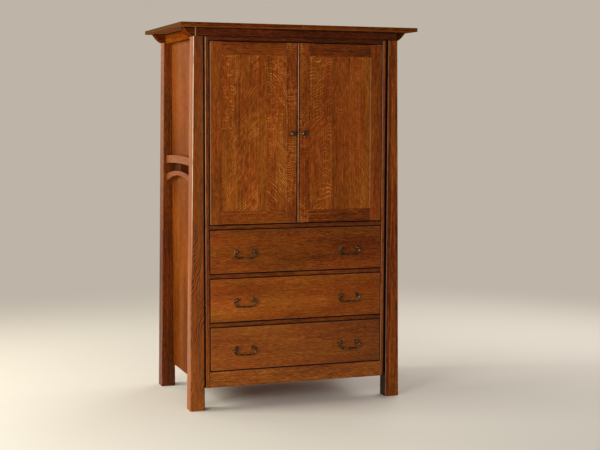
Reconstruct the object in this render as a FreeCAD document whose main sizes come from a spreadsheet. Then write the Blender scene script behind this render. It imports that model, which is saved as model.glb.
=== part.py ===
import FreeCAD, Part
import math
import os
import re
import Sketcher

# Two-door, three-drawer armoire. Millimetres; +X to the right, +Y to the back, +Z up.
# The origin is on the floor, under the middle of the crown board.

sides = ("left", "right")
ends = ("front", "back")
drawers = ("bottom", "middle", "top")
tolerance = 0.01

# Driving dimensions: alias, value, meaning.
sizes = (
    # posts and case
    ("case_height", "1906", "floor to the top of the posts"),
    ("case_depth", "706", "front of the front posts to back of the back posts"),
    ("inner_width", "1008", "between the inner faces of the posts"),
    ("post_top_width", "52", "post, side to side, at its top"),
    ("post_foot_width", "77", "post, side to side, at the floor"),
    ("post_depth", "76", "post, front to back"),
    ("post_ease", "4", "rounding of the posts' long edges"),
    ("side_panel_thickness", "12", "side panel"),
    ("side_panel_low", "127", "lower edge of the side panels"),
    ("tongue_depth", "8", "reach of the side panels into the posts"),
    ("case_board_thickness", "20", "deck and bottom panel"),
    ("back_rail_thickness", "20", "back rails and back frieze"),
    ("back_rail_height", "60", "upper and middle back rails"),
    ("back_panel_thickness", "6", "back panels"),
    # face frame
    ("frame_setback", "6", "face frame behind the front of the posts"),
    ("frame_thickness", "20", "face frame, front to back"),
    ("frame_ease", "2.2", "rounding of face frame, door and drawer edges"),
    ("stile_width", "29.5", "stile, quirk included"),
    ("quirk_width", "8.5", "dark quirk between stile and post"),
    ("quirk_depth", "12", "depth of the quirk"),
    ("bottom_rail_low", "115", "lower edge of the bottom rail"),
    ("bottom_rail_height", "84", "bottom rail"),
    ("drawer_opening_height", "227.5", "opening of one drawer"),
    ("drawer_rail_height", "24", "rail between two drawers"),
    ("middle_rail_height", "24", "rail between doors and drawers"),
    ("top_rail_height", "20", "rail above the doors, and the case top behind it"),
    # crown
    ("frieze_height", "45", "post tops to the underside of the crown"),
    ("front_frieze_thickness", "16", "front frieze"),
    ("front_frieze_proud", "4", "front frieze ahead of the posts"),
    ("frieze_end_inset", "10", "end of the front frieze, in from the post's face"),
    ("side_frieze_inset", "11", "face of the side frieze, in from the post's face"),
    ("side_frieze_drop", "7", "lower edge of the side frieze below the post tops"),
    ("corbel_foot", "16", "bottom of the corbel, out from the side frieze"),
    ("corbel_reach", "60", "top of the corbel, out from the side frieze"),
    ("corbel_radius", "120", "curve of the corbel, from its foot to the crown"),
    ("corbel_length", "60", "corbel, front to back"),
    ("crown_side_overhang", "83", "crown beyond the post tops, each side"),
    ("crown_front_overhang", "70", "crown ahead of the posts"),
    ("crown_back_overhang", "22", "crown behind the posts"),
    ("crown_thickness", "20", "crown board"),
    ("crown_ease", "2.5", "rounding of the crown's edges"),
    # arched rails across the sides
    ("arch_rail_thickness", "31", "arched rails, out from the side panel"),
    ("upper_arch_crest", "1299", "top of the upper arched rail at its middle"),
    ("upper_arch_height", "42", "upper arched rail"),
    ("upper_arch_rise", "9", "rise of the upper arched rail"),
    ("arch_gap", "41", "between the arched rails at their middle"),
    ("lower_arch_depth", "24", "lower arched rail at its middle"),
    ("lower_arch_top_rise", "27", "rise of the lower rail's top edge"),
    ("lower_arch_bottom_rise", "46", "rise of the lower rail's bottom edge"),
    ("arch_bevel", "1.5", "bevel of the arched rails' outer edges"),
    ("accent_length", "262", "dark block, front to back"),
    ("accent_thickness", "22", "dark block, out from the side panel"),
    ("accent_seat", "0.3", "dark block above the lower rail"),
    # doors
    ("front_side_gap", "5", "doors and drawer fronts to the stiles"),
    ("door_meeting_gap", "3", "between the two doors"),
    ("door_end_gap", "3.5", "above and below the doors"),
    ("door_thickness", "20", "door frame"),
    ("door_stile_width", "61", "door stiles"),
    ("door_rail_height", "65", "door rails"),
    ("door_panel_thickness", "8", "door panel, its groove and the rails' tenons"),
    ("door_panel_setback", "3", "door panel behind the door's face"),
    ("door_groove_depth", "8", "panel groove in stiles and rails"),
    # knife hinges
    ("hinge_pin_inset", "16", "hinge pin, in from the door's outer edge"),
    ("hinge_pin_setback", "10", "hinge pin behind the door's face"),
    ("hinge_pin_diameter", "5", "hinge pin"),
    ("hinge_pin_reach", "8", "hinge pin into the door"),
    ("hinge_pin_clearance", "0.05", "around the hinge pin"),
    ("hinge_collar_diameter", "10", "collar that carries the door"),
    ("leaf_length", "40", "hinge leaf"),
    ("leaf_width", "12", "hinge leaf"),
    ("leaf_thickness", "2", "hinge leaf"),
    # knobs and catches
    ("knob_diameter", "28", "knob"),
    ("knob_base_diameter", "17", "foot of the knob"),
    ("knob_neck_diameter", "10", "neck of the knob"),
    ("knob_crown_diameter", "15", "flat top of the knob"),
    ("knob_base_height", "2.5", "foot of the knob"),
    ("knob_neck_low", "6", "start of the neck"),
    ("knob_neck_high", "12", "end of the neck"),
    ("knob_rim_low", "16", "start of the widest part"),
    ("knob_rim_high", "20", "end of the widest part"),
    ("knob_projection", "26", "knob ahead of the door"),
    ("knob_ease", "1.8", "rounding of the knob"),
    ("catch_offset", "34", "middle of a catch from the middle of the case"),
    ("catch_width", "44", "magnetic catch"),
    ("catch_depth", "18", "magnetic catch"),
    ("catch_height", "14", "magnetic catch"),
    ("strike_thickness", "1.2", "strike plate"),
    ("running_gap", "0.3", "between pieces that pass each other"),
    # compartment
    ("shelf_rise", "430", "underside of the shelf above the deck"),
    ("shelf_thickness", "20", "adjustable shelf"),
    ("shelf_setback", "22", "front of the shelf behind the face frame"),
    ("shelf_play", "1", "around the shelf"),
    ("shelf_pin_diameter", "5", "shelf pin"),
    ("shelf_pin_depth", "8", "shelf pin in the side panel"),
    ("shelf_pin_reach", "11", "shelf pin under the shelf"),
    ("shelf_pin_inset", "60", "shelf pins from the posts"),
    ("pin_hole_pitch", "32", "between the holes for the shelf pins"),
    ("pin_hole_clearance", "0.05", "around a shelf pin"),
    ("outlet_rise", "95", "middle of the cable outlet above the deck"),
    ("outlet_bore_diameter", "52", "bore of the grommet"),
    ("outlet_sleeve_diameter", "60", "sleeve of the grommet"),
    ("outlet_flange_diameter", "74", "flange of the grommet"),
    ("outlet_flange_thickness", "2.5", "flange of the grommet"),
    # drawers
    ("drawer_gap", "3.5", "above and below a drawer front"),
    ("drawer_front_thickness", "20", "drawer front"),
    ("box_clearance", "14", "drawer box inside its opening, above and below"),
    ("box_side_thickness", "13", "drawer sides"),
    ("box_end_thickness", "15", "inner front and back of the drawer"),
    ("box_bottom_thickness", "6", "drawer bottom"),
    ("box_bottom_groove", "6", "reach of the bottom into sides and ends"),
    ("box_bottom_raise", "12", "bottom above the lower edge of the sides"),
    ("box_length", "560", "drawer box, front to back"),
    ("slide_thickness", "12.7", "slide, drawer side to cleat"),
    ("slide_height", "45", "slide"),
    ("slide_length", "550", "slide"),
    ("slide_metal", "1.5", "steel of the slide"),
    ("slide_lip_gap", "0.5", "between the lips of one member and the web of the other"),
    ("cleat_height", "70", "cleat behind a slide"),
    # bail pulls
    ("pull_offset", "288", "middle of a pull from the middle of the drawer"),
    ("pull_spacing", "88.9", "between the posts of a pull"),
    ("pull_standoff", "15", "bail pivot ahead of the drawer front"),
    ("pull_foot_diameter", "22", "rosette of a pull post"),
    ("pull_foot_height", "2.5", "rim of the rosette"),
    ("pull_neck_diameter", "10", "neck of a pull post"),
    ("pull_neck_low", "5.5", "start of the neck"),
    ("pull_head_diameter", "15.5", "ball of a pull post"),
    ("bail_diameter", "8", "rod of the bail"),
    ("bail_clearance", "0.08", "around the bail in its post"),
    ("bail_pin_reach", "5", "bail past the middle of the post"),
    ("bail_bulge", "12.75", "bail outside the middle of the post"),
    ("bail_drop", "34", "pivot to the middle of the bar"),
    ("bail_shoulder_radius", "6", "bend beside the post"),
    ("bail_corner_radius", "24", "bend into the bar"),
    ("screw_diameter", "4", "screws of knobs and pulls"),
    ("screw_clearance", "0.05", "around a screw in the metal"),
    ("screw_hole_clearance", "0.3", "around a screw in the wood"),
    ("screw_reach", "5", "screw into the metal"),
    ("screw_head_diameter", "8.5", "screw head"),
    ("screw_head_height", "2.6", "screw head"),
)

# Places that follow from the driving dimensions.
places = {
    "half_inner": "inner_width / 2",
    "crown_depth": "case_depth + crown_front_overhang + crown_back_overhang",
    "case_front": "crown_front_overhang - crown_depth / 2",
    "case_back": "case_front + case_depth",
    "post_top_face": "half_inner + post_top_width",
    "post_foot_face": "half_inner + post_foot_width",
    "side_front": "case_front + post_depth",
    "side_back": "case_back - post_depth",
    "side_middle": "(side_front + side_back) / 2",
    "panel_face": "half_inner + side_panel_thickness",
    "inside_back": "case_back - back_rail_thickness - back_panel_thickness",
    "frame_front": "case_front + frame_setback",
    "frame_back": "frame_front + frame_thickness",
    "opening_half": "half_inner - stile_width",
    "bottom_rail_top": "bottom_rail_low + bottom_rail_height",
    "drawer_pitch": "drawer_opening_height + drawer_rail_height",
    "middle_rail_low": f"bottom_rail_top + {len(drawers)} * drawer_pitch - drawer_rail_height",
    "deck_top": "middle_rail_low + middle_rail_height",
    "deck_low": "deck_top - case_board_thickness",
    "door_top": "case_height - top_rail_height",
    "crown_low": "case_height + frieze_height",
    "frieze_back": "case_front - front_frieze_proud + front_frieze_thickness",
    "side_frieze_face": "post_top_face - side_frieze_inset",
    "corbel_lean": "corbel_reach - corbel_foot",
    "corbel_chord": "sqrt(corbel_lean^2 + frieze_height^2)",
    "corbel_depth": "sqrt(corbel_radius^2 - corbel_chord^2 / 4)",
    "corbel_centre": "side_frieze_face + corbel_foot + corbel_lean / 2"
    " - corbel_depth * frieze_height / corbel_chord",
    "corbel_centre_high": "case_height + frieze_height / 2"
    " + corbel_depth * corbel_lean / corbel_chord",
    "arch_rail_face": "panel_face + arch_rail_thickness",
    "arch_chord": "side_back - side_front",
    "lower_arch_crest": "upper_arch_crest - upper_arch_height - arch_gap",
    "door_outer": "opening_half - front_side_gap",
    "door_inner": "door_meeting_gap / 2",
    "door_low": "deck_top + door_end_gap",
    "door_high": "door_top - door_end_gap",
    "door_back": "frame_front + door_thickness",
    "door_panel_front": "frame_front + door_panel_setback",
    "door_panel_back": "door_panel_front + door_panel_thickness",
    "outer_stile_edge": "door_outer - door_stile_width",
    "inner_stile_edge": "door_inner + door_stile_width",
    "hinge_x": "door_outer - hinge_pin_inset",
    "hinge_y": "frame_front + hinge_pin_setback",
    "leaf_outer": "hinge_x + leaf_width / 2",
    "knob_x": "door_inner + door_stile_width / 2",
    "knob_z": "(door_low + door_high) / 2",
    "strike_back": "door_back + strike_thickness",
    "shelf_low": "deck_top + shelf_rise",
    "shelf_pin_z": "shelf_low - shelf_pin_diameter / 2",
    "outlet_z": "deck_top + outlet_rise",
    "box_outer": "opening_half - slide_thickness",
    "box_inner": "box_outer - box_side_thickness",
    "box_front": "frame_front + drawer_front_thickness",
    "box_back": "box_front + box_length",
    "bail_half_width": "pull_spacing / 2 + bail_bulge",
    "bail_y": "frame_front - pull_standoff",
}

document = FreeCAD.newDocument("armoire")
sheet = document.addObject("Spreadsheet::Sheet", "Sizes")
for row, (alias, size, meaning) in enumerate(sizes, start=1):
    sheet.set(f"A{row}", meaning)
    sheet.set(f"B{row}", size)
    sheet.setAlias(f"B{row}", alias)
document.recompute()

aliases = {alias for alias, size, meaning in sizes}
nodes = []

turns = {
    "X": FreeCAD.Rotation(FreeCAD.Vector(0, 1, 0), 90),
    "Y": FreeCAD.Rotation(FreeCAD.Vector(1, 0, 0), -90),
    "Z": FreeCAD.Rotation(),
}


def formula(text):
    """Spell a formula out in the sheet's aliases."""

    def spell(match):
        word = match.group(0)
        if word in aliases:
            return "Sizes." + word
        if word in places:
            return "(" + formula(places[word]) + ")"
        return word

    return re.sub(r"[a-z][a-z_]*", spell, text)


def number(text):
    """The present value of a formula."""
    return float(sheet.evalExpression(formula(text)))


def bind(thing, **formulas):
    for name, text in formulas.items():
        thing.setExpression(name, formula(text))


def put(thing, x, y, z):
    """Bind a thing's place."""
    for axis, text in zip("xyz", (x, y, z)):
        thing.setExpression("Placement.Base." + axis, formula(text))


def span(side, near, far):
    """A stretch along X, measured from the middle of the case, on one side of it."""
    if side == "right":
        return (near, far)
    return (f"-({far})", f"-({near})")


def both(half):
    """A stretch along X that is centred on the case."""
    return (f"-({half})", half)


def at(side, distance):
    return distance if side == "right" else f"-({distance})"


def keep(thing, name):
    """Make a thing a sub-part of its own."""
    thing.Label = name
    nodes.append(thing)
    return thing


def group(name, things):
    """Make several separate solids one sub-part."""
    bundle = document.addObject("Part::Compound", name)
    bundle.Links = things
    return keep(bundle, name)


# --- features of a body -----------------------------------------------------


def block_feature(body, kind, x, y, z):
    block = body.newObject("PartDesign::" + kind, body.Name + "_" + kind)
    bind(
        block,
        Length=f"({x[1]}) - ({x[0]})",
        Width=f"({y[1]}) - ({y[0]})",
        Height=f"({z[1]}) - ({z[0]})",
    )
    put(block, x[0], y[0], z[0])


def round_feature(body, kind, axis, radius, start, length):
    rod = body.newObject("PartDesign::" + kind, body.Name + "_" + kind)
    rod.Placement = FreeCAD.Placement(FreeCAD.Vector(), turns[axis])
    bind(rod, Radius=radius, Height=length)
    put(rod, *start)


def board(name, x, y, z):
    """A rectangular piece of wood or metal."""
    body = document.addObject("PartDesign::Body", name)
    block_feature(body, "AdditiveBox", x, y, z)
    return body


def rod(name, axis, radius, start, length):
    """A round bar."""
    body = document.addObject("PartDesign::Body", name)
    round_feature(body, "AdditiveCylinder", axis, radius, start, length)
    return body


def add_board(body, x, y, z):
    block_feature(body, "AdditiveBox", x, y, z)


def cut_board(body, x, y, z):
    block_feature(body, "SubtractiveBox", x, y, z)


def add_rod(body, axis, radius, start, length):
    round_feature(body, "AdditiveCylinder", axis, radius, start, length)


def drill(body, axis, radius, start, length):
    round_feature(body, "SubtractiveCylinder", axis, radius, start, length)


def edges_in_plane(shape, axis, place, shortest=0.0):
    """The names of the edges that lie in a plane across an axis."""
    names = []
    for index, edge in enumerate(shape.Edges, start=1):
        box = edge.BoundBox
        low = getattr(box, axis + "Min")
        high = getattr(box, axis + "Max")
        near = abs(low - place) < tolerance and abs(high - place) < tolerance
        if near and edge.Length > shortest:
            names.append(f"Edge{index}")
    return names


def ease(body, radius, names):
    """Round the named edges of a body's last feature."""
    fillet = body.newObject("PartDesign::Fillet", body.Name + "_ease")
    fillet.Base = (fillet.BaseFeature, names)
    bind(fillet, Radius=radius)


def ease_front(body):
    """Round the edges of a body that lie in the plane of the face frame."""
    document.recompute()
    ease(body, "frame_ease", edges_in_plane(body.Tip.Shape, "Y", number("frame_front")))


def blank_sketch(body, role):
    """An empty sketch on one of a body's own origin planes."""
    sketch = body.newObject("Sketcher::SketchObject", body.Name + "_outline")
    plane = [part for part in body.Origin.OriginFeatures if part.Role == role][0]
    sketch.AttachmentSupport = (plane, [""])
    sketch.MapMode = "FlatFace"
    return sketch


def pin_point(sketch, line, point, corner):
    """Bind one end of a line to a place given by two formulas."""
    for kind, text in zip(("DistanceX", "DistanceY"), corner):
        place = sketch.addConstraint(
            Sketcher.Constraint(kind, -1, 1, line, point, number(text))
        )
        sketch.setExpression(f"Constraints[{place}]", formula(text))


def outline(body, role, points):
    """A closed sketch of straight lines, each corner bound to the sheet."""
    sketch = blank_sketch(body, role)
    corners = [FreeCAD.Vector(number(x), number(y), 0) for x, y in points]
    count = len(points)
    for index in range(count):
        following = corners[(index + 1) % count]
        sketch.addGeometry(Part.LineSegment(corners[index], following), False)
    for index in range(count):
        sketch.addConstraint(
            Sketcher.Constraint("Coincident", index, 2, (index + 1) % count, 1)
        )
        pin_point(sketch, index, 1, points[index])
    return sketch


# --- case -------------------------------------------------------------------


def post(end, side):
    """A post: inner face upright, outer face leaning in, rebated for the side panel."""
    name = f"{end}_{side}_post"
    body = document.addObject("PartDesign::Body", name)
    points = (
        (at(side, "half_inner"), "0"),
        (at(side, "post_foot_face"), "0"),
        (at(side, "post_top_face"), "case_height"),
        (at(side, "half_inner"), "case_height"),
    )
    sketch = outline(body, "XZ_Plane", points)
    back = "side_front" if end == "front" else "case_back"
    sketch.setExpression("AttachmentOffset.Base.z", formula(f"-({back})"))
    pad = body.newObject("PartDesign::Pad", name + "_pad")
    pad.Profile = sketch
    bind(pad, Length="post_depth")
    document.recompute()
    long_edges = []
    for index, edge in enumerate(pad.Shape.Edges, start=1):
        if edge.BoundBox.ZLength > number("case_height / 2"):
            long_edges.append(f"Edge{index}")
    ease(body, "post_ease", long_edges)
    x = span(side, "half_inner", "panel_face")
    z = ("side_panel_low", "case_height")
    if end == "front":
        cut_board(body, x, ("side_front - tongue_depth", "side_front"), z)
    else:
        cut_board(body, x, ("side_back", "side_back + tongue_depth"), z)
    keep(body, name)


def shelf_pin_places():
    """Where the shelf pins stand, front to back."""
    return ("side_front + shelf_pin_inset", "side_back - shelf_pin_inset")


def side_panel(side):
    """A side panel, with five pin holes above each other near each post."""
    name = f"{side}_side_panel"
    body = board(
        name,
        span(side, "half_inner", "panel_face"),
        ("side_front - tongue_depth", "side_back + tongue_depth"),
        ("side_panel_low", "case_height"),
    )
    start = span(side, "half_inner", "half_inner + shelf_pin_depth")[0]
    radius = "shelf_pin_diameter / 2 + pin_hole_clearance"
    for y in shelf_pin_places():
        for step in range(-2, 3):
            z = f"shelf_pin_z + {step} * pin_hole_pitch"
            drill(body, "X", radius, (start, y, z), "shelf_pin_depth")
    keep(body, name)


def curve_radius(rise):
    """Radius of an arc over the side's width, from its rise."""
    return f"(arch_chord * arch_chord / 4 + {rise} * {rise}) / (2 * {rise})"


def curved_edge(sketch, crest, rise, right, left):
    """An arc that rises to its crest between two given corners of a sketch."""
    radius = number(curve_radius(rise))
    centre = FreeCAD.Vector(number("side_middle"), number(crest) - radius, 0)
    half_angle = math.asin(number("arch_chord / 2") / radius)
    circle = Part.Circle(centre, FreeCAD.Vector(0, 0, 1), radius)
    arc = sketch.addGeometry(
        Part.ArcOfCircle(circle, math.pi / 2 - half_angle, math.pi / 2 + half_angle), False
    )
    sketch.addConstraint(Sketcher.Constraint("Coincident", arc, 1, *right))
    sketch.addConstraint(Sketcher.Constraint("Coincident", arc, 2, *left))
    size = sketch.addConstraint(Sketcher.Constraint("Radius", arc, radius))
    sketch.setExpression(f"Constraints[{size}]", formula(curve_radius(rise)))


def arch_rail(name, side, crest, depth, top_rise, bottom_rise):
    """A rail with a curved top edge and a curved bottom edge."""
    body = document.addObject("PartDesign::Body", name)
    under = f"{crest} - {depth}"
    ends_of_rail = []
    sketch = blank_sketch(body, "YZ_Plane")
    for y in ("side_back", "side_front"):
        corners = ((y, f"{under} - {bottom_rise}"), (y, f"{crest} - {top_rise}"))
        low, high = (FreeCAD.Vector(number(across), number(z), 0) for across, z in corners)
        line = sketch.addGeometry(Part.LineSegment(low, high), False)
        for point, corner in enumerate(corners, start=1):
            pin_point(sketch, line, point, corner)
        ends_of_rail.append(line)
    back, front = ends_of_rail
    curved_edge(sketch, under, bottom_rise, (back, 1), (front, 1))
    curved_edge(sketch, crest, top_rise, (back, 2), (front, 2))
    near = span(side, "panel_face", "arch_rail_face")[0]
    sketch.setExpression("AttachmentOffset.Base.z", formula(near))
    pad = body.newObject("PartDesign::Pad", name + "_pad")
    pad.Profile = sketch
    bind(pad, Length="arch_rail_thickness")
    document.recompute()
    face = number(at(side, "arch_rail_face"))
    bevel = body.newObject("PartDesign::Chamfer", name + "_bevel")
    bevel.Base = (pad, edges_in_plane(pad.Shape, "X", face, number("arch_chord / 2")))
    bind(bevel, Size="arch_bevel")
    return body


def arch_rails(side):
    """The two arched rails of a side, and the dark block between them."""
    upper = arch_rail(
        side + "_upper_arch",
        side,
        "upper_arch_crest",
        "upper_arch_height",
        "upper_arch_rise",
        "upper_arch_rise",
    )
    lower = arch_rail(
        side + "_lower_arch",
        side,
        "lower_arch_crest",
        "lower_arch_depth",
        "lower_arch_top_rise",
        "lower_arch_bottom_rise",
    )
    group(side + "_arch_rails", [upper, lower])
    stock = document.addObject("Part::Box", side + "_accent_stock")
    low = "lower_arch_crest - lower_arch_top_rise"
    high = "upper_arch_crest - upper_arch_height"
    x = span(side, "panel_face", "panel_face + accent_thickness")
    bind(stock, Length="accent_thickness", Width="accent_length", Height=f"{high} - ({low})")
    put(stock, x[0], "side_front", low)
    pared = document.addObject("Part::Cut", side + "_accent_pared")
    pared.Base = stock
    pared.Tool = upper
    radius = curve_radius("lower_arch_top_rise")
    curve = document.addObject("Part::Cylinder", side + "_accent_curve")
    curve.Placement = FreeCAD.Placement(FreeCAD.Vector(), turns["X"])
    bind(curve, Radius=f"{radius} + accent_seat", Height="accent_thickness")
    put(curve, x[0], "side_middle", f"lower_arch_crest - {radius}")
    accent = document.addObject("Part::Cut", side + "_accent")
    accent.Base = pared
    accent.Tool = curve
    return accent


def face_frame():
    """Stiles with their quirks, and the rails between them."""
    depth = ("frame_front", "frame_back")
    for side in sides:
        stile = board(
            side + "_stile",
            span(side, "opening_half", "half_inner"),
            depth,
            ("bottom_rail_low", "case_height"),
        )
        cut_board(
            stile,
            span(side, "half_inner - quirk_width", "half_inner"),
            ("frame_front", "frame_front + quirk_depth"),
            ("bottom_rail_low", "case_height"),
        )
        ease_front(stile)
        keep(stile, side + "_stile")
    width = both("opening_half")
    bottom = board("bottom_rail", width, depth, ("bottom_rail_low", "bottom_rail_top"))
    ease_front(bottom)
    keep(bottom, "bottom_rail")
    cross_rails = []
    for row in range(1, len(drawers)):
        high = f"bottom_rail_top + {row} * drawer_pitch"
        rail = board(f"drawer_rail_{row}", width, depth, (f"{high} - drawer_rail_height", high))
        ease_front(rail)
        cross_rails.append(rail)
    middle = board("middle_rail", width, depth, ("middle_rail_low", "deck_top"))
    top = board("top_rail", width, depth, ("door_top", "case_height"))
    ease_front(middle)
    for side in sides:
        x, y = leaf_plan(side)
        cut_board(middle, x, y, ("deck_top - leaf_thickness", "deck_top"))
        cut_board(top, x, y, ("door_top", "door_top + leaf_thickness"))
    cross_rails.append(middle)
    group("cross_rails", cross_rails)
    keep(top, "top_rail")


def friezes():
    """The frame between the post tops and the crown."""
    height = ("case_height", "crown_low")
    front = board(
        "front_frieze",
        both("post_top_face - frieze_end_inset"),
        ("case_front - front_frieze_proud", "frieze_back"),
        height,
    )
    keep(front, "front_frieze")
    rear = "case_back - back_rail_thickness"
    returns = []
    for side in sides:
        x = span(side, "panel_face", "side_frieze_face")
        low = "case_height - side_frieze_drop"
        frieze = board(side + "_frieze", x, ("frieze_back", rear), (low, "crown_low"))
        cut_board(frieze, x, ("frieze_back", "side_front"), (low, "case_height"))
        cut_board(frieze, x, ("side_back", rear), (low, "case_height"))
        returns.append(frieze)
    group("side_friezes", returns)
    back = board("back_frieze", both("side_frieze_face"), (rear, "case_back"), height)
    keep(back, "back_frieze")


def corbel(end, side):
    """A block under the crown, curving out from a post top."""
    name = f"{end}_{side}_corbel"
    front = "frieze_back" if end == "front" else "case_back - corbel_length"
    block = document.addObject("Part::Box", name + "_block")
    bind(block, Length="corbel_reach", Width="corbel_length", Height="frieze_height")
    near = span(side, "side_frieze_face", "side_frieze_face + corbel_reach")[0]
    put(block, near, front, "case_height")
    curve = document.addObject("Part::Cylinder", name + "_curve")
    curve.Placement = FreeCAD.Placement(FreeCAD.Vector(), turns["Y"])
    bind(curve, Radius="corbel_radius", Height="corbel_length")
    put(curve, at(side, "corbel_centre"), front, "corbel_centre_high")
    whole = document.addObject("Part::Common", name)
    whole.Base = block
    whole.Tool = curve
    whole.Refine = True
    return whole


def crown():
    """The overhanging top board."""
    body = board(
        "crown_board",
        both("post_top_face + crown_side_overhang"),
        ("case_front - crown_front_overhang", "case_back + crown_back_overhang"),
        ("crown_low", "crown_low + crown_thickness"),
    )
    document.recompute()
    count = len(body.Tip.Shape.Edges)
    ease(body, "crown_ease", [f"Edge{index}" for index in range(1, count + 1)])
    keep(body, "crown_board")


def case_boards():
    """The boards that close the case inside."""
    width = both("half_inner")
    depth = ("frame_back", "inside_back")
    keep(board("case_top", width, depth, ("door_top", "case_height")), "case_top")
    keep(board("deck", width, depth, ("deck_low", "deck_top")), "deck")
    low = "bottom_rail_top - case_board_thickness"
    keep(board("case_bottom", width, depth, (low, "bottom_rail_top")), "case_bottom")


def case_back():
    """Back rails between the posts, back panels on them, and the cable outlet."""
    width = both("half_inner")
    depth = ("case_back - back_rail_thickness", "case_back")
    joint = "(deck_low + deck_top) / 2"
    heights = (
        ("bottom_rail_low", "bottom_rail_top"),
        (f"{joint} - back_rail_height / 2", f"{joint} + back_rail_height / 2"),
        ("case_height - back_rail_height", "case_height"),
    )
    rails = [
        board(f"back_rail_{row}", width, depth, height)
        for row, height in enumerate(heights, start=1)
    ]
    group("back_rails", rails)
    depth = ("inside_back", "inside_back + back_panel_thickness")
    lower = board("lower_back_panel", width, depth, ("bottom_rail_low", joint))
    upper = board("upper_back_panel", width, depth, (joint, "case_height"))
    drill(
        upper,
        "Y",
        "outlet_sleeve_diameter / 2 + running_gap",
        ("0", "inside_back", "outlet_z"),
        "back_panel_thickness",
    )
    group("back_panels", [lower, upper])
    flange_front = "inside_back - outlet_flange_thickness"
    start = ("0", flange_front, "outlet_z")
    through = "outlet_flange_thickness + back_panel_thickness"
    grommet = rod(
        "cable_grommet", "Y", "outlet_flange_diameter / 2", start, "outlet_flange_thickness"
    )
    add_rod(grommet, "Y", "outlet_sleeve_diameter / 2", start, through)
    drill(grommet, "Y", "outlet_bore_diameter / 2", start, through)
    keep(grommet, "cable_grommet")


def shelf():
    """The adjustable shelf on its four pins."""
    body = board(
        "shelf",
        both("half_inner - shelf_play"),
        ("frame_back + shelf_setback", "inside_back - shelf_play"),
        ("shelf_low", "shelf_low + shelf_thickness"),
    )
    keep(body, "shelf")
    pins = []
    for side in sides:
        start = span(side, "half_inner - shelf_pin_reach", "half_inner + shelf_pin_depth")[0]
        for end, y in zip(ends, shelf_pin_places()):
            pin = rod(
                f"{end}_{side}_shelf_pin",
                "X",
                "shelf_pin_diameter / 2",
                (start, y, "shelf_pin_z"),
                "shelf_pin_reach + shelf_pin_depth",
            )
            pins.append(pin)
    group("shelf_pins", pins)


# --- hinges and catches -----------------------------------------------------


def leaf_plan(side):
    """The stretch of a hinge leaf along X and along Y."""
    x = span(side, "leaf_outer - leaf_length", "leaf_outer")
    y = ("hinge_y - leaf_width / 2", "hinge_y + leaf_width / 2")
    return x, y


def frame_leaves():
    """Hinge leaves let into the top and middle rails, each with its pin and collar."""
    leaves = []
    for side in sides:
        x, y = leaf_plan(side)
        pin = (at(side, "hinge_x"), "hinge_y")
        length = "door_end_gap + hinge_pin_reach"
        collar = "door_end_gap - running_gap"
        lower = board(f"{side}_lower_leaf", x, y, ("deck_top - leaf_thickness", "deck_top"))
        add_rod(lower, "Z", "hinge_collar_diameter / 2", (*pin, "deck_top"), collar)
        add_rod(lower, "Z", "hinge_pin_diameter / 2", (*pin, "deck_top"), length)
        upper = board(f"{side}_upper_leaf", x, y, ("door_top", "door_top + leaf_thickness"))
        start = f"door_top - ({collar})"
        add_rod(upper, "Z", "hinge_collar_diameter / 2", (*pin, start), collar)
        start = f"door_top - ({length})"
        add_rod(upper, "Z", "hinge_pin_diameter / 2", (*pin, start), length)
        leaves.extend((lower, upper))
    group("frame_hinge_leaves", leaves)


def catches():
    """Magnetic catches under the case top, just behind the doors."""
    magnets = []
    for side in sides:
        low = "catch_offset - catch_width / 2"
        high = "catch_offset + catch_width / 2"
        face = "strike_back + running_gap"
        magnet = board(
            side + "_catch",
            span(side, low, high),
            (face, f"{face} + catch_depth"),
            ("door_top - catch_height", "door_top"),
        )
        magnets.append(magnet)
    group("magnetic_catches", magnets)


def screw(name, x, z, tip, head):
    """A screw along Y, driven from the inside; head is where its head bears."""
    length = f"({head}) - ({tip})"
    body = rod(name, "Y", "screw_diameter / 2", (x, tip, z), length)
    add_rod(body, "Y", "screw_head_diameter / 2", (x, head, z), "screw_head_height")
    return body


# --- doors ------------------------------------------------------------------


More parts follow.
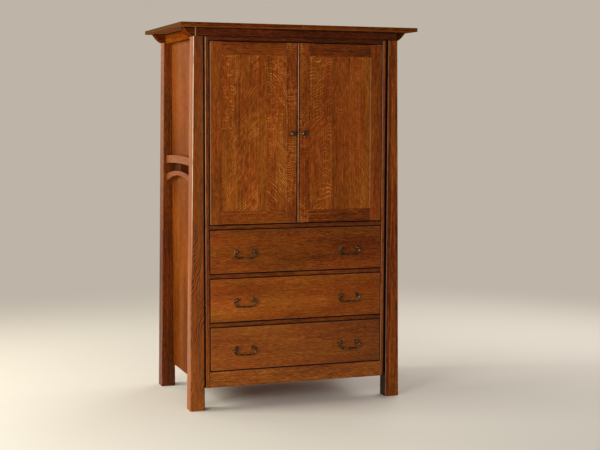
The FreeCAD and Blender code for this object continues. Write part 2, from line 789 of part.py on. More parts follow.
def door_frame(side):
    """Stiles with a groove down their inner edge, and rails tenoned into it."""
    depth = ("frame_front", "door_back")
    height = ("door_low", "door_high")
    groove = ("door_panel_front", "door_panel_back")
    outer = board(side + "_outer", span(side, "outer_stile_edge", "door_outer"), depth, height)
    x = span(side, "outer_stile_edge", "outer_stile_edge + door_groove_depth")
    cut_board(outer, x, groove, height)
    inner = board(side + "_inner", span(side, "door_inner", "inner_stile_edge"), depth, height)
    x = span(side, "inner_stile_edge - door_groove_depth", "inner_stile_edge")
    cut_board(inner, x, groove, height)
    start = (at(side, "knob_x"), "frame_front", "knob_z")
    hole = "screw_diameter / 2 + screw_hole_clearance"
    drill(inner, "Y", hole, start, "door_thickness")
    for stile in (outer, inner):
        ease_front(stile)
    x, y = leaf_plan(side)
    cut_board(outer, x, y, ("door_low", "door_low + leaf_thickness"))
    cut_board(outer, x, y, ("door_high - leaf_thickness", "door_high"))
    bore = "hinge_pin_diameter / 2 + hinge_pin_clearance"
    pin = (at(side, "hinge_x"), "hinge_y")
    drill(outer, "Z", bore, (*pin, "door_low"), "hinge_pin_reach + hinge_pin_clearance")
    start = "door_high - hinge_pin_reach - hinge_pin_clearance"
    drill(outer, "Z", bore, (*pin, start), "hinge_pin_reach + hinge_pin_clearance")
    group(side + "_door_stiles", [outer, inner])
    between = span(side, "inner_stile_edge", "outer_stile_edge")
    reach = span(
        side, "inner_stile_edge - door_groove_depth", "outer_stile_edge + door_groove_depth"
    )
    lower_edge = "door_low + door_rail_height"
    upper_edge = "door_high - door_rail_height"
    lower = board(side + "_lower_rail", between, depth, ("door_low", lower_edge))
    upper = board(side + "_upper_rail", between, depth, (upper_edge, "door_high"))
    cut_board(lower, between, groove, (f"{lower_edge} - door_groove_depth", lower_edge))
    cut_board(upper, between, groove, (upper_edge, f"{upper_edge} + door_groove_depth"))
    for rail in (lower, upper):
        ease_front(rail)
    add_board(lower, reach, groove, ("door_low", f"{lower_edge} - door_groove_depth"))
    add_board(upper, reach, groove, (f"{upper_edge} + door_groove_depth", "door_high"))
    group(side + "_door_rails", [lower, upper])
    height = (f"{lower_edge} - door_groove_depth", f"{upper_edge} + door_groove_depth")
    keep(board(side + "_door_panel", reach, groove, height), side + "_door_panel")


def knob(side):
    """A turned knob and the screw that holds it."""
    name = side + "_knob"
    body = document.addObject("PartDesign::Body", name)
    points = (
        ("0", "0"),
        ("knob_base_diameter / 2", "0"),
        ("knob_base_diameter / 2", "-knob_base_height"),
        ("knob_neck_diameter / 2", "-knob_neck_low"),
        ("knob_neck_diameter / 2", "-knob_neck_high"),
        ("knob_diameter / 2", "-knob_rim_low"),
        ("knob_diameter / 2", "-knob_rim_high"),
        ("knob_crown_diameter / 2", "-knob_projection"),
        ("0", "-knob_projection"),
    )
    turned = body.newObject("PartDesign::Revolution", name + "_turned")
    turned.Profile = outline(body, "XY_Plane", points)
    turned.ReferenceAxis = (turned.Profile[0], ["V_Axis"])
    turned.Angle = 360
    document.recompute()
    rims = []
    for height in ("knob_rim_low", "knob_rim_high", "knob_projection"):
        rims.extend(edges_in_plane(turned.Shape, "Y", number("-" + height)))
    ease(body, "knob_ease", rims)
    bore = ("0", "-screw_reach - screw_clearance", "0")
    drill(body, "Y", "screw_diameter / 2 + screw_clearance", bore, "screw_reach + screw_clearance")
    put(body, at(side, "knob_x"), "frame_front", "knob_z")
    tip = "frame_front - screw_reach"
    fixing = screw(side + "_knob_screw", at(side, "knob_x"), "knob_z", tip, "door_back")
    group(side + "_door_knob", [body, fixing])


def door_hardware(side):
    """The door's hinge leaves and the strike plate of its catch."""
    x, y = leaf_plan(side)
    pin = (at(side, "hinge_x"), "hinge_y")
    bore = "hinge_pin_diameter / 2 + hinge_pin_clearance"
    pieces = []
    for name, low in (("lower", "door_low"), ("upper", "door_high - leaf_thickness")):
        leaf = board(f"{side}_door_{name}_leaf", x, y, (low, f"{low} + leaf_thickness"))
        drill(leaf, "Z", bore, (*pin, low), "leaf_thickness")
        pieces.append(leaf)
    low = "catch_offset - catch_width / 2"
    high = "catch_offset + catch_width / 2"
    plate = span(side, low, high)
    top = "door_high - running_gap"
    strike = board(
        side + "_strike",
        plate,
        ("door_back", "strike_back"),
        ("door_top - catch_height", top),
    )
    pieces.append(strike)
    group(side + "_door_hardware", pieces)


# --- drawers ----------------------------------------------------------------


def slide_member(name, side, kind, middle):
    """One steel channel of a slide, and its place in the case or on the drawer."""
    web = "slide_metal"
    if kind == "case":
        x = span(side, "box_outer + slide_lip_gap", "opening_half")
        hollow = span(side, "box_outer + slide_lip_gap", f"opening_half - {web}")
        half = "slide_height / 2"
        y = ("frame_back", "frame_back + slide_length")
    else:
        x = span(side, "box_outer", f"opening_half - {web} - slide_lip_gap")
        hollow = span(side, f"box_outer + {web}", f"opening_half - {web} - slide_lip_gap")
        half = f"slide_height / 2 - {web} - running_gap"
        y = ("box_front", "box_front + slide_length")
    body = board(name, x, y, (f"{middle} - ({half})", f"{middle} + {half}"))
    cut_board(body, hollow, y, (f"{middle} - ({half} - {web})", f"{middle} + {half} - {web}"))
    return body


def drawer_box(name, low):
    """Sides, inner front, back and a bottom held in grooves."""
    z = (f"{low} + box_clearance", f"{low} + drawer_opening_height - box_clearance")
    bottom_low = f"{z[0]} + box_bottom_raise"
    bottom_x = both("box_inner + box_bottom_groove")
    bottom_y = (
        "box_front + box_end_thickness - box_bottom_groove",
        "box_back - box_end_thickness + box_bottom_groove",
    )
    bottom_z = (bottom_low, f"{bottom_low} + box_bottom_thickness")
    pieces = []
    for side in sides:
        x = span(side, "box_inner", "box_outer")
        wall = board(f"{name}_{side}_wall", x, ("box_front", "box_back"), z)
        groove = span(side, "box_inner", "box_inner + box_bottom_groove")
        cut_board(wall, groove, bottom_y, bottom_z)
        pieces.append(wall)
    width = both("box_inner")
    inner_front = board(
        f"{name}_inner_front", width, ("box_front", "box_front + box_end_thickness"), z
    )
    cut_board(inner_front, width, (bottom_y[0], "box_front + box_end_thickness"), bottom_z)
    for x, height in pull_post_places(low):
        drill(
            inner_front,
            "Y",
            "screw_diameter / 2 + screw_hole_clearance",
            (x, "box_front", height),
            "box_end_thickness",
        )
    back = board(f"{name}_back", width, ("box_back - box_end_thickness", "box_back"), z)
    cut_board(back, width, ("box_back - box_end_thickness", bottom_y[1]), bottom_z)
    pieces.extend((inner_front, back, board(f"{name}_bottom", bottom_x, bottom_y, bottom_z)))
    group(name + "_box", pieces)


def pull_middle(low):
    """The height of a drawer's pulls."""
    return f"{low} + drawer_opening_height / 2"


def pull_post_places(low):
    """The four places, X and Z, where the pull posts of a drawer stand."""
    found = []
    for side in sides:
        for half in ("- pull_spacing / 2", "+ pull_spacing / 2"):
            found.append((at(side, f"pull_offset {half}"), pull_middle(low)))
    return found


def drawer_front(name, low):
    """The show front, bored for the pulls."""
    body = board(
        name + "_front",
        both("door_outer"),
        ("frame_front", "box_front"),
        (f"{low} + drawer_gap", f"{low} + drawer_opening_height - drawer_gap"),
    )
    ease_front(body)
    for x, height in pull_post_places(low):
        drill(
            body,
            "Y",
            "screw_diameter / 2 + screw_hole_clearance",
            (x, "frame_front", height),
            "drawer_front_thickness",
        )
    keep(body, name + "_front")


def pull_post(name, x, z):
    """A turned post with a rosette foot and a ball that the bail passes into."""
    body = document.addObject("PartDesign::Body", name)
    points = (
        ("0", "0"),
        ("pull_foot_diameter / 2", "0"),
        ("pull_foot_diameter / 2", "-pull_foot_height"),
        ("pull_neck_diameter / 2", "-pull_neck_low"),
        ("pull_neck_diameter / 2", "-pull_standoff"),
        ("0", "-pull_standoff"),
    )
    turned = body.newObject("PartDesign::Revolution", name + "_turned")
    turned.Profile = outline(body, "XY_Plane", points)
    turned.ReferenceAxis = (turned.Profile[0], ["V_Axis"])
    turned.Angle = 360
    ball = body.newObject("PartDesign::AdditiveSphere", name + "_ball")
    bind(ball, Radius="pull_head_diameter / 2")
    put(ball, "0", "-pull_standoff", "0")
    radius = "bail_diameter / 2 + bail_clearance"
    start = ("-pull_head_diameter / 2", "-pull_standoff", "0")
    drill(body, "X", radius, start, "pull_head_diameter")
    bore = ("0", "-screw_reach - screw_clearance", "0")
    drill(body, "Y", "screw_diameter / 2 + screw_clearance", bore, "screw_reach + screw_clearance")
    put(body, x, "frame_front", z)
    return body


def quarter_ring(name, ring_radius, quadrant, x, z):
    """A quarter of a ring of bail rod, upright and facing the front."""
    ring = document.addObject("Part::Torus", name)
    ring.Angle3 = 90
    turn = FreeCAD.Rotation(FreeCAD.Vector(1, 0, 0), 90)
    turn = turn.multiply(FreeCAD.Rotation(FreeCAD.Vector(0, 0, 1), 90 * quadrant))
    ring.Placement = FreeCAD.Placement(FreeCAD.Vector(), turn)
    bind(ring, Radius1=ring_radius, Radius2="bail_diameter / 2")
    put(ring, x, "bail_y", z)
    return ring


def bail_run(name, axis, x, z, length):
    """A straight run of bail rod."""
    run = document.addObject("Part::Cylinder", name)
    run.Placement = FreeCAD.Placement(FreeCAD.Vector(), turns[axis])
    bind(run, Radius="bail_diameter / 2", Height=length)
    put(run, x, "bail_y", z)
    return run


def bail(name, side, low):
    """The swinging handle: pins into the posts, arms outside them, bar below."""
    centre = at(side, "pull_offset")
    height = pull_middle(low)
    arm = "bail_half_width"
    shoulder_x = f"{arm} - bail_shoulder_radius"
    corner_x = f"{arm} - bail_corner_radius"
    arm_length = "bail_drop - bail_shoulder_radius - bail_corner_radius"
    corner_z = f"{height} - bail_drop + bail_corner_radius"
    pin_start = "pull_spacing / 2 - bail_pin_reach"
    pin_length = f"{shoulder_x} - ({pin_start})"
    pieces = [
        bail_run(
            name + "_bar",
            "X",
            f"{centre} - ({corner_x})",
            f"{height} - bail_drop",
            f"2 * ({corner_x})",
        )
    ]
    # quadrants of the shoulder and the corner bend, counted from +X towards +Z
    for sign, shoulder, corner in (("+", 0, 3), ("-", 1, 2)):
        tag = f"{name}_{shoulder}"
        pin_x = f"{centre} + {pin_start}" if sign == "+" else f"{centre} - ({shoulder_x})"
        pieces.append(bail_run(tag + "_pin", "X", pin_x, height, pin_length))
        pieces.append(
            quarter_ring(
                tag + "_shoulder",
                "bail_shoulder_radius",
                shoulder,
                f"{centre} {sign} ({shoulder_x})",
                f"{height} - bail_shoulder_radius",
            )
        )
        pieces.append(
            bail_run(tag + "_arm", "Z", f"{centre} {sign} {arm}", corner_z, arm_length)
        )
        pieces.append(
            quarter_ring(
                tag + "_corner",
                "bail_corner_radius",
                corner,
                f"{centre} {sign} ({corner_x})",
                corner_z,
            )
        )
    whole = document.addObject("Part::MultiFuse", name)
    whole.Shapes = pieces
    whole.Refine = True
    keep(whole, name)


def drawer(row, title):
    """One drawer; returns the pieces of the case that carry it."""
    name = title + "_drawer"
    low = f"bottom_rail_top + {row} * drawer_pitch"
    middle = pull_middle(low)
    drawer_front(name, low)
    drawer_box(name, low)
    runners = [slide_member(f"{name}_{side}_runner", side, "drawer", middle) for side in sides]
    group(name + "_runners", runners)
    fittings = []
    for index, (x, z) in enumerate(pull_post_places(low), start=1):
        fittings.append(pull_post(f"{name}_pull_post_{index}", x, z))
        tip = "frame_front - screw_reach"
        head = "box_front + box_end_thickness"
        fittings.append(screw(f"{name}_pull_screw_{index}", x, z, tip, head))
    group(name + "_pull_posts", fittings)
    for side in sides:
        bail(f"{name}_{side}_bail", side, low)
    members = [slide_member(f"{name}_{side}_member", side, "case", middle) for side in sides]
    cleats = []
    for side in sides:
        cleat = board(
            f"{name}_{side}_cleat",
            span(side, "opening_half", "half_inner"),
            ("frame_back", "inside_back"),
            (f"{middle} - cleat_height / 2", f"{middle} + cleat_height / 2"),
        )
        cleats.append(cleat)
    return members, cleats


# --- assembly ---------------------------------------------------------------


def build():
    for end in ends:
        for side in sides:
            post(end, side)
    for side in sides:
        side_panel(side)
    group("accent_blocks", [arch_rails(side) for side in sides])
    face_frame()
    friezes()
    group("corbels", [corbel(end, side) for end in ends for side in sides])
    crown()
    case_boards()
    case_back()
    shelf()
    frame_leaves()
    catches()
    for side in sides:
        door_frame(side)
        knob(side)
        door_hardware(side)
    members = []
    cleats = []
    for row, title in enumerate(drawers):
        more_members, more_cleats = drawer(row, title)
        members.extend(more_members)
        cleats.extend(more_cleats)
    group("case_slides", members)
    group("slide_cleats", cleats)


def check():
    """Stop if any object failed or any sub-part is not a sound solid."""
    for thing in document.Objects:
        for state in thing.State:
            if state in ("Invalid", "Error"):
                raise RuntimeError(f"{thing.Label} is {state}")
    for thing in nodes:
        if thing.Shape.isNull() or not thing.Shape.isValid() or not thing.Shape.Solids:
            raise RuntimeError(f"{thing.Label} has no sound shape")


def write():
    os.makedirs("parts", exist_ok=True)
    for thing in nodes:
        thing.Shape.exportStep(os.path.join("parts", thing.Label + ".step"))
    print(len(nodes), "sub-parts written")


build()
document.recompute()
check()
write()
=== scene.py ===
import bpy
import bmesh
import math
from mathutils import Matrix, Vector


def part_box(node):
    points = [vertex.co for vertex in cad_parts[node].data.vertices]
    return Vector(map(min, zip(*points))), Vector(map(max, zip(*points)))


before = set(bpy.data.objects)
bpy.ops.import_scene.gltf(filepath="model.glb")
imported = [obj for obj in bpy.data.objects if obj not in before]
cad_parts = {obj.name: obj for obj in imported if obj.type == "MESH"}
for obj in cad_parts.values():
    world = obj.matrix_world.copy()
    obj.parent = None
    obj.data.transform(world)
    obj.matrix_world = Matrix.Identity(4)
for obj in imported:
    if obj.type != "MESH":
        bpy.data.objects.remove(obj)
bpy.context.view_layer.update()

print("frame loaded:", len(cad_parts), "nodes")


def linear(red, green, blue):
    # turns a colour written as 0-255 screen values into the shader's linear one
    steps = (red / 255, green / 255, blue / 255)
    return [s / 12.92 if s <= 0.04045 else ((s + 0.055) / 1.055) ** 2.4 for s in steps] + [1.0]


def feed(tree, socket, value):
    if isinstance(value, bpy.types.NodeSocket):
        tree.links.new(value, socket)
    else:
        socket.default_value = value


def put(tree, kind, inputs=None, **settings):
    node = tree.nodes.new("ShaderNode" + kind)
    for key, value in settings.items():
        setattr(node, key, value)
    for key, value in (inputs or {}).items():
        feed(tree, node.inputs[key], value)
    return node


def maths(tree, operation, *values):
    node = put(tree, "Math", operation=operation)
    for socket, value in zip(node.inputs, values):
        feed(tree, socket, value)
    return node.outputs[0]


def plus(tree, *values):
    total = values[0]
    for value in values[1:]:
        total = maths(tree, "ADD", total, value)
    return total


def less(tree, first, second):
    return maths(tree, "SUBTRACT", first, second)


def times(tree, *values):
    total = values[0]
    for value in values[1:]:
        total = maths(tree, "MULTIPLY", total, value)
    return total


def most(tree, *values):
    total = values[0]
    for value in values[1:]:
        total = maths(tree, "MAXIMUM", total, value)
    return total


def rising(tree, value, low, high):
    # 0 below low, 1 above high, smooth between
    node = put(tree, "MapRange", {"Value": value, "From Min": low, "From Max": high},
               interpolation_type="SMOOTHSTEP")
    return node.outputs["Result"]


def falling(tree, value, low, high):
    return less(tree, 1.0, rising(tree, value, low, high))


def swing(tree, value, amount):
    # a noise of 0 to 1 turned into a change of tone up and down
    return times(tree, less(tree, value, 0.5), amount)


def parted(tree, place):
    return put(tree, "SeparateXYZ", {"Vector": place}).outputs


def mapped(tree, place, scale=(1, 1, 1), turn=(0, 0, 0), shift=(0, 0, 0)):
    return put(tree, "Mapping", {"Vector": place, "Scale": scale, "Rotation": turn,
                                 "Location": shift}).outputs["Vector"]


def noise(tree, place, scale=1.0, detail=2.0, roughness=0.5, distortion=0.0):
    return put(tree, "TexNoise", {"Vector": place, "Scale": scale, "Detail": detail,
                                  "Roughness": roughness, "Distortion": distortion}).outputs["Fac"]


def mixed(tree, amount, first, second, blend="MIX"):
    node = put(tree, "Mix", data_type="RGBA", blend_type=blend)
    for index, value in ((0, amount), (6, first), (7, second)):
        feed(tree, node.inputs[index], value)
    return node.outputs[2]


def ramp(tree, value, stops, interpolation="LINEAR"):
    node = put(tree, "ValToRGB", {"Fac": value})
    node.color_ramp.interpolation = interpolation
    elements = node.color_ramp.elements
    while len(elements) < len(stops):
        elements.new(0.5)
    for element, (position, colour) in zip(elements, stops):
        element.position = position
        element.color = colour
    return node.outputs["Color"]


def roughen(tree, shader, height, strength, distance):
    bump = put(tree, "Bump", {"Height": height, "Strength": strength, "Distance": distance})
    feed(tree, shader.inputs["Normal"], bump.outputs["Normal"])


def material(name):
    made = bpy.data.materials.new(name)
    made.use_nodes = True
    tree = made.node_tree
    place = put(tree, "TexCoord").outputs["Object"]
    return made, tree, tree.nodes["Principled BSDF"], place


# what each piece of oak may change
oakLook = {
    "grain": "Z",         # axis that the grain runs along
    "seed": 0.0,
    "tone": 0.0,          # lighter above 0
    "red": 0.0,           # redder above 0, more golden below
    "drift": None,        # tone change per metre along X, Y and Z, from (0, 0, 1): a painted fall-off of light and shade
    "cloud": 0.22,        # slow tone change along a board
    "streak": 0.26,       # growth lines
    "streakWidth": 0.0052,
    "streakTurns": 3.2,   # per metre along the grain
    "thread": 0.34,       # short dashes between the growth lines
    "threadTurns": 34.0,
    "fine": 0.16,
    "fleck": 0.0,
    "fleckTilt": 55.0,    # degrees above the across direction
    "fleckSpacing": 0.0105,
    "fleckLength": 0.05,
    "fleckSwirl": 0.9,
    "fleckCrest": None,   # X that the pale lines rise towards from both sides
    "blotch": 0.0,        # pale patches above mid height, on the boards that ask for them
    "cathedral": None,    # the figure of a plain-sawn face, as footFigure has it
    "boards": None,       # axis, low, high, [(start, tone, fleck, blotch)]
    "rub": (),            # (axis, place, lean along Z, strength) of painted highlights along edges
    "rubWidth": 0.0026,
    "rubDepth": 0.0026,
    "rubRise": None,      # low and high Z that the painted edge highlights fade in between
    "seams": (),          # (axis, place, reach, strength) of painted shade lines beside gaps and joints
    "endGrain": 0.0,      # darker and greyer on the two ends along X
    "ends": (0, 0),
    "under": None,        # Z of the underside, which is made paler and greyer
    "glaze": 0.0,         # darker behind the front, in gaps and quirks: painted shade
    "glazeDepth": 0.008,  # how far back from the front it reaches
    "front": None,        # Y of the front face that the painted gap shade and the painted edge highlights start from
    "stain": "brown",     # a key of woodStops
    "roughness": 0.40,
    "coat": 0.07,
    "coatAbove": None,    # Z that the coat starts from, where only the top has one
    "coatRoughness": 0.25,
    "specular": 0.07,
}
woodStops = {
    "brown": ((0.0, (38, 13, 2)), (0.28, (86, 36, 6)), (0.5, (125, 61, 13)),
              (0.72, (156, 84, 24)), (1.0, (206, 136, 60))),
    "pale": ((0.0, (112, 78, 46)), (0.28, (160, 120, 78)), (0.5, (190, 152, 106)),
             (0.72, (208, 174, 128)), (1.0, (228, 200, 158))),
}
grainTurn = {"Z": (0, 0, 0), "X": (0, -math.pi / 2, 0), "Y": (math.pi / 2, 0, 0)}

# what all oak has in common: scales are turns per metre, pairs are where a fade starts and ends
oakGrain = {
    "seedShift": (1.7, 0.9, 2.3),
    "boardShift": (41.0, 3.0),      # across and along, from one board to the next
    "cloudScale": (9, 9, 1.6),
    "threadScale": 190,
    "threadShift": (2, 9, 4),
    "fineScale": (420, 420, 9),
    "poreScale": (1100, 1100, 46),
    "pores": (0.60, 0.72),
    "poreDark": 0.10,
    "warmthScale": (14, 14, 2.2),
    "warmthShift": (5, 5, 5),
    "warmth": (0.3, 0.7),
    "golden": (0.97, 1.08, 0.95, 1),
    "ruddy": (1.03, 0.90, 0.92, 1),
    "fineGloss": 0.16,
    "poreGloss": 0.12,
    "glazeGloss": 0.5,
    "streakBump": 0.25,
    "fineBump": 0.35,
    "fleckBump": 0.3,
    "bump": 0.35,
    "bumpDepth": 0.0004,
    "coatFade": 0.0005,
}
fleckShape = {
    "sideways": 0.6,                # share of the depth in the across direction
    "crestRound": 0.0006,           # square metres, blunts the crest
    "bendScale": (7, 7, 4),
    "bend": 0.11,                   # metres
    "waveScale": (30, 30, 22),
    "wave": 0.007,
    "line": (0.1, 1.0),
    "dashStretch": 1.6,
    "dashes": (0.32, 0.58),
    "patchScale": (9, 9, 5),
    "patchShift": (3, 1, 7),
    "patches": (0.26, 0.58),
}
blotchShape = {
    "wanderScale": (40, 40, 20),
    "wander": 0.04,
    "spacing": 0.019,
    "tongue": (-0.1, 0.7),
    "cutScale": (38, 38, 30),
    "cutShift": (1, 4, 2),
    "cut": (0.45, 0.62),
    "heights": (1.36, 1.50),
}
footFigure = {
    "centre": -0.500,               # X of the middle of the arches
    "lean": 3.3,
    "spacing": 0.036,
    "wanderScale": (18, 18, 5),
    "wander": 0.2,
    "darkening": (0.0, 0.3),
    "clearing": (0.3, 0.55),
    "patchScale": (22, 22, 6),
    "patches": (0.3, 0.65),
    "heights": (0.75, 1.05),        # where it fades out upwards
    "skin": (-0.324, -0.314),       # Y where it fades out behind the front face
    "amount": 0.42,
}
# colours and fades of the end grain and the underside, and of the painted shade lines and the
# painted gap shade
stainAndShadeShape = {
    "seamEdge": (0.8, 1.2),         # of a shade line's reach
    "glazeStart": (0.0018, 0.0040),
    "glazeEnd": 1.4,                # of the gap shade's depth
    "endColour": (80, 50, 26),
    "endFade": (0.0008, 0.003),
    "underColour": (130, 88, 56),
    "underFade": (0.0003, 0.001),
    "underShare": 0.6,
}
# the painted highlight along edges: its colour, width, depth and how it breaks into patches
highlightShape = {
    "colour": (222, 184, 144),
    "core": 0.35,                   # of the highlight's width
    "depthEnd": 1.6,                # of the highlight's depth
    "wornScale": (60, 60, 14),
    "worn": (0.15, 0.5),
}


def boardSteps(tree, place, boards):
    # tone, fleck, seed and blotch of each board of a glued-up or repeated piece
    axis, low, high, steps = boards
    share = maths(tree, "DIVIDE", less(tree, parted(tree, place)[axis], low), high - low)
    stops = [((start - low) / (high - low), (0.5 + tone, fleck, (7 * i % 10) / 10, blotch))
             for i, (start, tone, fleck, blotch) in enumerate(steps)]
    colour = ramp(tree, share, stops, "CONSTANT")
    split = put(tree, "SeparateColor", {"Color": colour}).outputs
    return less(tree, split[0], 0.5), split[1], split[2], colour.node.outputs["Alpha"]


def rayFleck(tree, turned, place, look):
    # pale wavy lines that cross the grain, broken into dashes
    shape = fleckShape
    tilt = math.radians(look["fleckTilt"])
    parts = parted(tree, turned)
    along = parts["Z"]
    across = plus(tree, parts["X"], times(tree, parts["Y"], shape["sideways"]))
    if look["fleckCrest"] is not None:
        aside = less(tree, parted(tree, place)["X"], look["fleckCrest"])
        blunt = plus(tree, times(tree, aside, aside), shape["crestRound"])
        across = times(tree, maths(tree, "SQRT", blunt), -1.0)
    over = plus(tree, times(tree, across, -math.sin(tilt)), times(tree, along, math.cos(tilt)))
    length = plus(tree, times(tree, across, math.cos(tilt)), times(tree, along, math.sin(tilt)))
    bend = noise(tree, mapped(tree, turned, shape["bendScale"]), detail=1.5)
    wave = noise(tree, mapped(tree, turned, shape["waveScale"]), detail=1.0)
    over = plus(tree, over, times(tree, bend, shape["bend"] * look["fleckSwirl"]),
                times(tree, wave, shape["wave"]))
    phase = maths(tree, "DIVIDE", over, look["fleckSpacing"])
    line = rising(tree, maths(tree, "SINE", times(tree, phase, 2 * math.pi)), *shape["line"])
    dash = put(tree, "CombineXYZ", {
        "X": maths(tree, "DIVIDE", over, shape["dashStretch"] * look["fleckSpacing"]),
        "Y": maths(tree, "DIVIDE", length, look["fleckLength"])}).outputs[0]
    broken = rising(tree, noise(tree, dash, detail=1.0), *shape["dashes"])
    spread = mapped(tree, turned, shape["patchScale"], shift=shape["patchShift"])
    patch = rising(tree, noise(tree, spread, detail=1.0), *shape["patches"])
    return times(tree, line, broken, patch)


def paleBlotches(tree, place):
    # short pale tongues stacked up a board
    shape = blotchShape
    wander = noise(tree, mapped(tree, place, shape["wanderScale"]), detail=1.0)
    height = plus(tree, parted(tree, place)["Z"], times(tree, wander, shape["wander"]))
    turns = times(tree, height, 2 * math.pi / shape["spacing"])
    tongue = rising(tree, maths(tree, "SINE", turns), *shape["tongue"])
    spread = mapped(tree, place, shape["cutScale"], shift=shape["cutShift"])
    cut = rising(tree, noise(tree, spread, detail=1.0), *shape["cut"])
    return times(tree, tongue, cut, rising(tree, height, *shape["heights"]))


def cathedralLines(tree, place, shape):
    # dark slanting growth lines of a plain-sawn face
    parts = parted(tree, place)
    away = maths(tree, "ABSOLUTE", less(tree, parts["X"], shape["centre"]))
    wander = noise(tree, mapped(tree, place, shape["wanderScale"]))
    height = plus(tree, parts["Z"], times(tree, away, shape["lean"]),
                  times(tree, wander, shape["wander"]))
    share = maths(tree, "FRACT", maths(tree, "DIVIDE", height, shape["spacing"]))
    line = times(tree, rising(tree, share, *shape["darkening"]),
                 falling(tree, share, *shape["clearing"]))
    patch = noise(tree, mapped(tree, place, shape["patchScale"]), detail=1.0)
    return times(tree, line, rising(tree, patch, *shape["patches"]),
                 falling(tree, parts["Z"], *shape["heights"]),
                 falling(tree, parts["Y"], *shape["skin"]))


def paintedShadeLines(tree, place, seams):
    # painted shade in thin lines beside gaps and joints
    parts = parted(tree, place)
    total = 0.0
    for axis, line, reach, strength in seams:
        away = maths(tree, "ABSOLUTE", less(tree, parts[axis], line))
        near = falling(tree, away, *(reach * share for share in stainAndShadeShape["seamEdge"]))
        total = most(tree, total, times(tree, near, strength))
    return total


def paintedGapShade(tree, place, look):
    # painted shade: 1 in the sides of gaps and quirks, 0 on the front face and well behind it
    deep = less(tree, parted(tree, place)["Y"], look["front"])
    end = look["glazeDepth"]
    return times(tree, rising(tree, deep, *stainAndShadeShape["glazeStart"]),
                 falling(tree, deep, end, stainAndShadeShape["glazeEnd"] * end))


def paintedEdgeHighlight(tree, place, look):
    # painted highlight: a paler colour along long edges, broken into patches
    parts = parted(tree, place)
    width, depth = look["rubWidth"], look["rubDepth"]
    total = 0.0
    for axis, edge, lean, strength in look["rub"]:
        line = less(tree, parts[axis], edge)
        if lean:
            line = less(tree, line, times(tree, parts["Z"], lean))
        near = falling(tree, maths(tree, "ABSOLUTE", line), width * highlightShape["core"], width)
        total = most(tree, total, times(tree, near, strength))
    deep = less(tree, parts["Y"], look["front"])
    skin = falling(tree, deep, depth, highlightShape["depthEnd"] * depth)
    patches = noise(tree, mapped(tree, place, highlightShape["wornScale"]))
    worn = rising(tree, patches, *highlightShape["worn"])
    if look["rubRise"]:
        worn = times(tree, worn, rising(tree, parts["Z"], *look["rubRise"]))
    return times(tree, total, skin, worn)


def endShare(tree, place, look):
    across = parted(tree, place)["X"]
    low, high = look["ends"]
    start, end = stainAndShadeShape["endFade"]
    left = falling(tree, across, low + start, low + end)
    right = rising(tree, across, high - end, high - start)
    return times(tree, most(tree, left, right), look["endGrain"])


def underShare(tree, place, look):
    start, end = stainAndShadeShape["underFade"]
    share = falling(tree, parted(tree, place)["Z"], look["under"] + start, look["under"] + end)
    return times(tree, share, stainAndShadeShape["underShare"])


